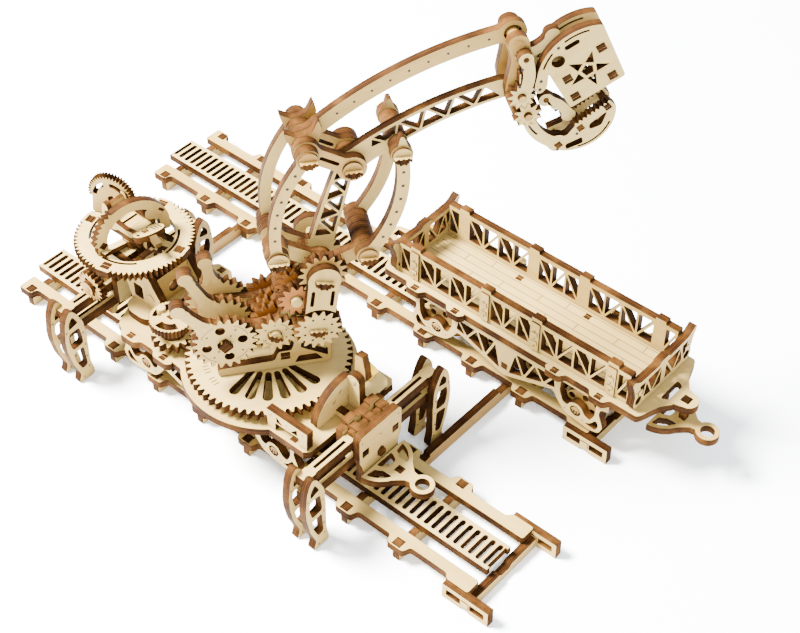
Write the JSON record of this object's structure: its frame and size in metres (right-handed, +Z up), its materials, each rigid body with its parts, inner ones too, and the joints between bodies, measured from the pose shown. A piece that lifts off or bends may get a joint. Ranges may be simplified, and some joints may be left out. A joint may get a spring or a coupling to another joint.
{
  "type": "wooden mechanical model kit",
  "caption": "Laser-cut plywood model: a rail car with outriggers, seat ring, lever-worked slewing grab arm and gears, beside a goods wagon on a second slotted track.",
  "frame": {"origin": "on the table under the middle of the near track's centre sleeper", "axes": "+X along the tracks towards the car's coupler end, +Y from the near track to the wagon's track, +Z up"},
  "size_m": [0.2666, 0.1392, 0.1646],
  "materials": {
    "birch_face": "matt laser-cut birch plywood with charred brown edges",
    "birch_warm": "matt laser-cut birch plywood, a little darker",
    "birch_pale": "matt laser-cut birch plywood, a little paler"
  },
  "bodies": {
    "tracks": {"near_rack": "birch_pale", "near_rail_frame": "birch_face", "far_rack": "birch_pale", "far_rail_frame": "birch_face", "cross_tie_left": "birch_warm", "cross_tie_right": "birch_warm"},
    "car": {"deck": "birch_face", "side_frame_near": "birch_face", "side_frame_far": "birch_face", "buffer_right": "birch_warm", "buffer_left": "birch_warm", "coupler": "birch_pale", "bench": "birch_face", "control_box": "birch_pale", "pedestal": "birch_face"},
    "car_wheels_left": {"wheel_set_left": "birch_warm"},
    "car_wheels_right": {"wheel_set_right": "birch_warm"},
    "brake": {"brake_lever": "birch_warm"},
    "outrigger_rn": {"outrigger_right_near": "birch_face"},
    "outrigger_rf": {"outrigger_right_far": "birch_face"},
    "outrigger_ln": {"outrigger_left_near": "birch_face"},
    "outrigger_lf": {"outrigger_left_far": "birch_face"},
    "cabin": {"ring_gear": "birch_pale", "seat_cradle": "birch_face"},
    "cabin_drive": {"cabin_pinion": "birch_warm"},
    "turret": {"slewing_gear": "birch_pale", "frame_near": "birch_face", "frame_far": "birch_face"},
    "hand_wheel": {"slew_hand_wheel": "birch_face"},
    "lever_one": {"lever_1": "birch_face"},
    "lever_two": {"lever_2": "birch_face"},
    "lever_three": {"lever_3": "birch_face"},
    "mid_one": {"mid_gear_1": "birch_warm"},
    "mid_two": {"mid_gear_2": "birch_warm"},
    "mid_three": {"mid_gear_3": "birch_warm"},
    "dotted_one": {"dotted_gear_1": "birch_warm"},
    "dotted_two": {"dotted_gear_2": "birch_warm"},
    "idler_one": {"idler_gear_1": "birch_warm"},
    "idler_two": {"idler_gear_2": "birch_warm"},
    "arm": {"main_arm": "birch_face"},
    "rear_strut": {"rear_link": "birch_face"},
    "elbow": {"rocker": "birch_warm"},
    "boom": {"boom": "birch_face"},
    "rod": {"upper_rod": "birch_face"},
    "crank": {"crank_boom": "birch_warm"},
    "crank_spool": {"crank_pin": "birch_warm"},
    "front_strut": {"front_link": "birch_face"},
    "wrist": {"wrist_link": "birch_warm"},
    "jaw_up": {"upper_jaw": "birch_pale"},
    "jaw_low": {"lower_jaw": "birch_pale"},
    "wagon": {"wagon_base": "birch_pale", "wagon_side_near": "birch_face", "wagon_side_far": "birch_face", "wagon_end_left": "birch_face", "wagon_end_right": "birch_face", "wagon_frame_near": "birch_face", "wagon_frame_far": "birch_face", "wagon_coupler": "birch_face"},
    "wagon_wheels_l": {"wagon_wheels_left": "birch_warm"},
    "wagon_wheels_r": {"wagon_wheels_right": "birch_warm"}
  },
  "joints": [
    {"name": "car_travel", "type": "slide", "parent": "tracks", "child": "car", "axis": [1, 0, 0], "range_m": [-0.0024, 0.0012]},
    {"name": "car_axle_left", "type": "hinge", "parent": "car", "child": "car_wheels_left", "pos_m": [-0.0488, 0, 0.0144], "axis": [0, 1, 0], "range_deg": [-30, 20]},
    {"name": "car_axle_right", "type": "hinge", "parent": "car", "child": "car_wheels_right", "pos_m": [0.0152, 0, 0.0144], "axis": [0, 1, 0], "range_deg": [-30, 20]},
    {"name": "brake", "type": "hinge", "parent": "car", "child": "brake", "pos_m": [0.0322, 0.0084, 0.0427], "axis": [0, 1, 0], "range_deg": [-25, 60]},
    {"name": "outrigger_rn_slide", "type": "slide", "parent": "car", "child": "outrigger_rn", "axis": [0, 1, 0], "range_m": [0, 0.006]},
    {"name": "outrigger_rf_slide", "type": "slide", "parent": "car", "child": "outrigger_rf", "axis": [0, -1, 0], "range_m": [0, 0.006]},
    {"name": "outrigger_ln_slide", "type": "slide", "parent": "car", "child": "outrigger_ln", "axis": [0, 1, 0], "range_m": [0, 0.006]},
    {"name": "outrigger_lf_slide", "type": "slide", "parent": "car", "child": "outrigger_lf", "axis": [0, -1, 0], "range_m": [0, 0.006]},
    {"name": "cabin_turn", "type": "hinge", "parent": "car", "child": "cabin", "pos_m": [-0.0701, 0, 0.05], "axis": [0, 0, 1], "continuous": true},
    {"name": "cabin_pinion_turn", "type": "hinge", "parent": "car", "child": "cabin_drive", "pos_m": [-0.0701, 0, 0.04155], "axis": [0, 1, 0], "continuous": true},
    {"name": "slew", "type": "hinge", "parent": "car", "child": "turret", "pos_m": [-0.0042, 0, 0.033], "axis": [0, 0, 1], "continuous": true},
    {"name": "hand_wheel_turn", "type": "hinge", "parent": "car", "child": "hand_wheel", "pos_m": [-0.03666, -0.01493, 0.04], "axis": [0, 0, 1], "continuous": true},
    {"name": "lift", "type": "hinge", "parent": "turret", "child": "arm", "pos_m": [0.00675, 0.01454, 0.0787], "axis": [0.7986, -0.6018, 0], "range_deg": [-14, 14]},
    {"name": "lever_two_turn", "type": "hinge", "parent": "turret", "child": "lever_two", "pos_m": [-0.01365, -0.01254, 0.0538], "axis": [0.7986, -0.6018, 0], "range_deg": [-11, 11]},
    {"name": "mid_two_turn", "type": "hinge", "parent": "turret", "child": "mid_two", "pos_m": [-0.00334, 0.00113, 0.0548], "axis": [0.7986, -0.6018, 0], "range_deg": [-17, 17]},
    {"name": "dotted_two_turn", "type": "hinge", "parent": "turret", "child": "dotted_two", "pos_m": [0.00513, 0.01238, 0.0573], "axis": [0.7986, -0.6018, 0], "range_deg": [-15, 15]},
    {"name": "idler_two_turn", "type": "hinge", "parent": "turret", "child": "idler_two", "pos_m": [0.00124, 0.00722, 0.06898], "axis": [0.7986, -0.6018, 0], "range_deg": [-20, 20]},
    {"name": "rear_strut_turn", "type": "hinge", "parent": "turret", "child": "rear_strut", "pos_m": [-0.00191, 0.00303, 0.0874], "axis": [0.7986, -0.6018, 0], "range_deg": [-15, 15]},
    {"name": "elbow_turn", "type": "hinge", "parent": "arm", "child": "elbow", "pos_m": [0.01337, 0.02332, 0.1187], "axis": [0.7986, -0.6018, 0], "range_deg": [-15, 15]},
    {"name": "reach", "type": "hinge", "parent": "elbow", "child": "boom", "pos_m": [0.01337, 0.02332, 0.1187], "axis": [0.7986, -0.6018, 0], "range_deg": [-12, 12]},
    {"name": "rod_turn", "type": "hinge", "parent": "elbow", "child": "rod", "pos_m": [0.00471, 0.01182, 0.1274], "axis": [0.7986, -0.6018, 0], "range_deg": [-11, 11]},
    {"name": "crank_turn", "type": "hinge", "parent": "turret", "child": "crank", "pos_m": [0.00675, 0.01454, 0.0787], "axis": [0.7986, -0.6018, 0], "range_deg": [-13, 13]},
    {"name": "crank_spool_turn", "type": "hinge", "parent": "crank", "child": "crank_spool", "pos_m": [0.01578, 0.02651, 0.0846], "axis": [0.7986, -0.6018, 0], "range_deg": [-13, 13]},
    {"name": "front_strut_turn", "type": "hinge", "parent": "crank_spool", "child": "front_strut", "pos_m": [0.01578, 0.02651, 0.0846], "axis": [0.7986, -0.6018, 0], "range_deg": [-15, 15]},
    {"name": "lever_one_turn", "type": "hinge", "parent": "turret", "child": "lever_one", "pos_m": [-0.01365, -0.01254, 0.0538], "axis": [0.7986, -0.6018, 0], "range_deg": [-10, 10]},
    {"name": "mid_one_turn", "type": "hinge", "parent": "turret", "child": "mid_one", "pos_m": [-0.00334, 0.00113, 0.0548], "axis": [0.7986, -0.6018, 0], "range_deg": [-15, 15]},
    {"name": "dotted_one_turn", "type": "hinge", "parent": "turret", "child": "dotted_one", "pos_m": [0.00513, 0.01238, 0.0573], "axis": [0.7986, -0.6018, 0], "range_deg": [-13, 13]},
    {"name": "idler_one_turn", "type": "hinge", "parent": "turret", "child": "idler_one", "pos_m": [0.00124, 0.00722, 0.06898], "axis": [0.7986, -0.6018, 0], "range_deg": [-17, 17]},
    {"name": "wrist_turn", "type": "hinge", "parent": "boom", "child": "wrist", "pos_m": [0.04491, 0.06517, 0.141], "axis": [0.7986, -0.6018, 0], "range_deg": [-12, 12]},
    {"name": "grip", "type": "hinge", "parent": "wrist", "child": "jaw_up", "pos_m": [0.04491, 0.06517, 0.141], "axis": [0.7986, -0.6018, 0], "range_deg": [-4, 20]},
    {"name": "jaw_low_turn", "type": "hinge", "parent": "wrist", "child": "jaw_low", "pos_m": [0.04635, 0.06708, 0.13363], "axis": [0.7986, -0.6018, 0], "range_deg": [-21, 5]},
    {"name": "lever_three_turn", "type": "hinge", "parent": "turret", "child": "lever_three", "pos_m": [-0.01365, -0.01254, 0.0538], "axis": [0.7986, -0.6018, 0], "range_deg": [-4, 16]},
    {"name": "mid_three_turn", "type": "hinge", "parent": "turret", "child": "mid_three", "pos_m": [-0.00334, 0.00113, 0.0548], "axis": [0.7986, -0.6018, 0], "range_deg": [-24, 6]},
    {"name": "wagon_travel", "type": "slide", "parent": "tracks", "child": "wagon", "axis": [1, 0, 0], "range_m": [-0.14, 0.004]},
    {"name": "wagon_axle_left", "type": "hinge", "parent": "wagon", "child": "wagon_wheels_l", "pos_m": [0.0186, 0.0815, 0.0144], "axis": [0, 1, 0], "range_deg": [-1150, 40]},
    {"name": "wagon_axle_right", "type": "hinge", "parent": "wagon", "child": "wagon_wheels_r", "pos_m": [0.0826, 0.0815, 0.0144], "axis": [0, 1, 0], "range_deg": [-1150, 40]}
  ],
  "couplings": [
    {"joint": "car_axle_left", "follows": "car_travel", "rad_per_m": 142.86},
    {"joint": "car_axle_right", "follows": "car_travel", "rad_per_m": 140.25},
    {"joint": "cabin_pinion_turn", "follows": "cabin_turn", "ratio": 3.6667},
    {"joint": "hand_wheel_turn", "follows": "slew", "ratio": -4},
    {"joint": "lever_two_turn", "follows": "lift", "ratio": 0.72727},
    {"joint": "mid_two_turn", "follows": "lift", "ratio": -1.1429},
    {"joint": "dotted_two_turn", "follows": "lift", "ratio": 1},
    {"joint": "idler_two_turn", "follows": "lift", "ratio": -1.3333},
    {"joint": "rear_strut_turn", "follows": "lift", "ratio": 1},
    {"joint": "elbow_turn", "follows": "lift", "ratio": -1},
    {"joint": "front_strut_turn", "follows": "lift", "ratio": 1},
    {"joint": "rod_turn", "follows": "reach", "ratio": 0.79555},
    {"joint": "crank_turn", "follows": "reach", "ratio": 1},
    {"joint": "crank_spool_turn", "follows": "reach", "ratio": -1},
    {"joint": "lever_one_turn", "follows": "reach", "ratio": 0.72727},
    {"joint": "mid_one_turn", "follows": "reach", "ratio": -1.1429},
    {"joint": "dotted_one_turn", "follows": "reach", "ratio": 1},
    {"joint": "idler_one_turn", "follows": "reach", "ratio": -1.3333},
    {"joint": "wrist_turn", "follows": "reach", "ratio": -0.87977},
    {"joint": "jaw_low_turn", "follows": "grip", "ratio": -1},
    {"joint": "lever_three_turn", "follows": "grip", "ratio": 0.72727},
    {"joint": "mid_three_turn", "follows": "grip", "ratio": -1.1429},
    {"joint": "wagon_axle_left", "follows": "wagon_travel", "rad_per_m": 142.86},
    {"joint": "wagon_axle_right", "follows": "wagon_travel", "rad_per_m": 142.86}
  ]
}
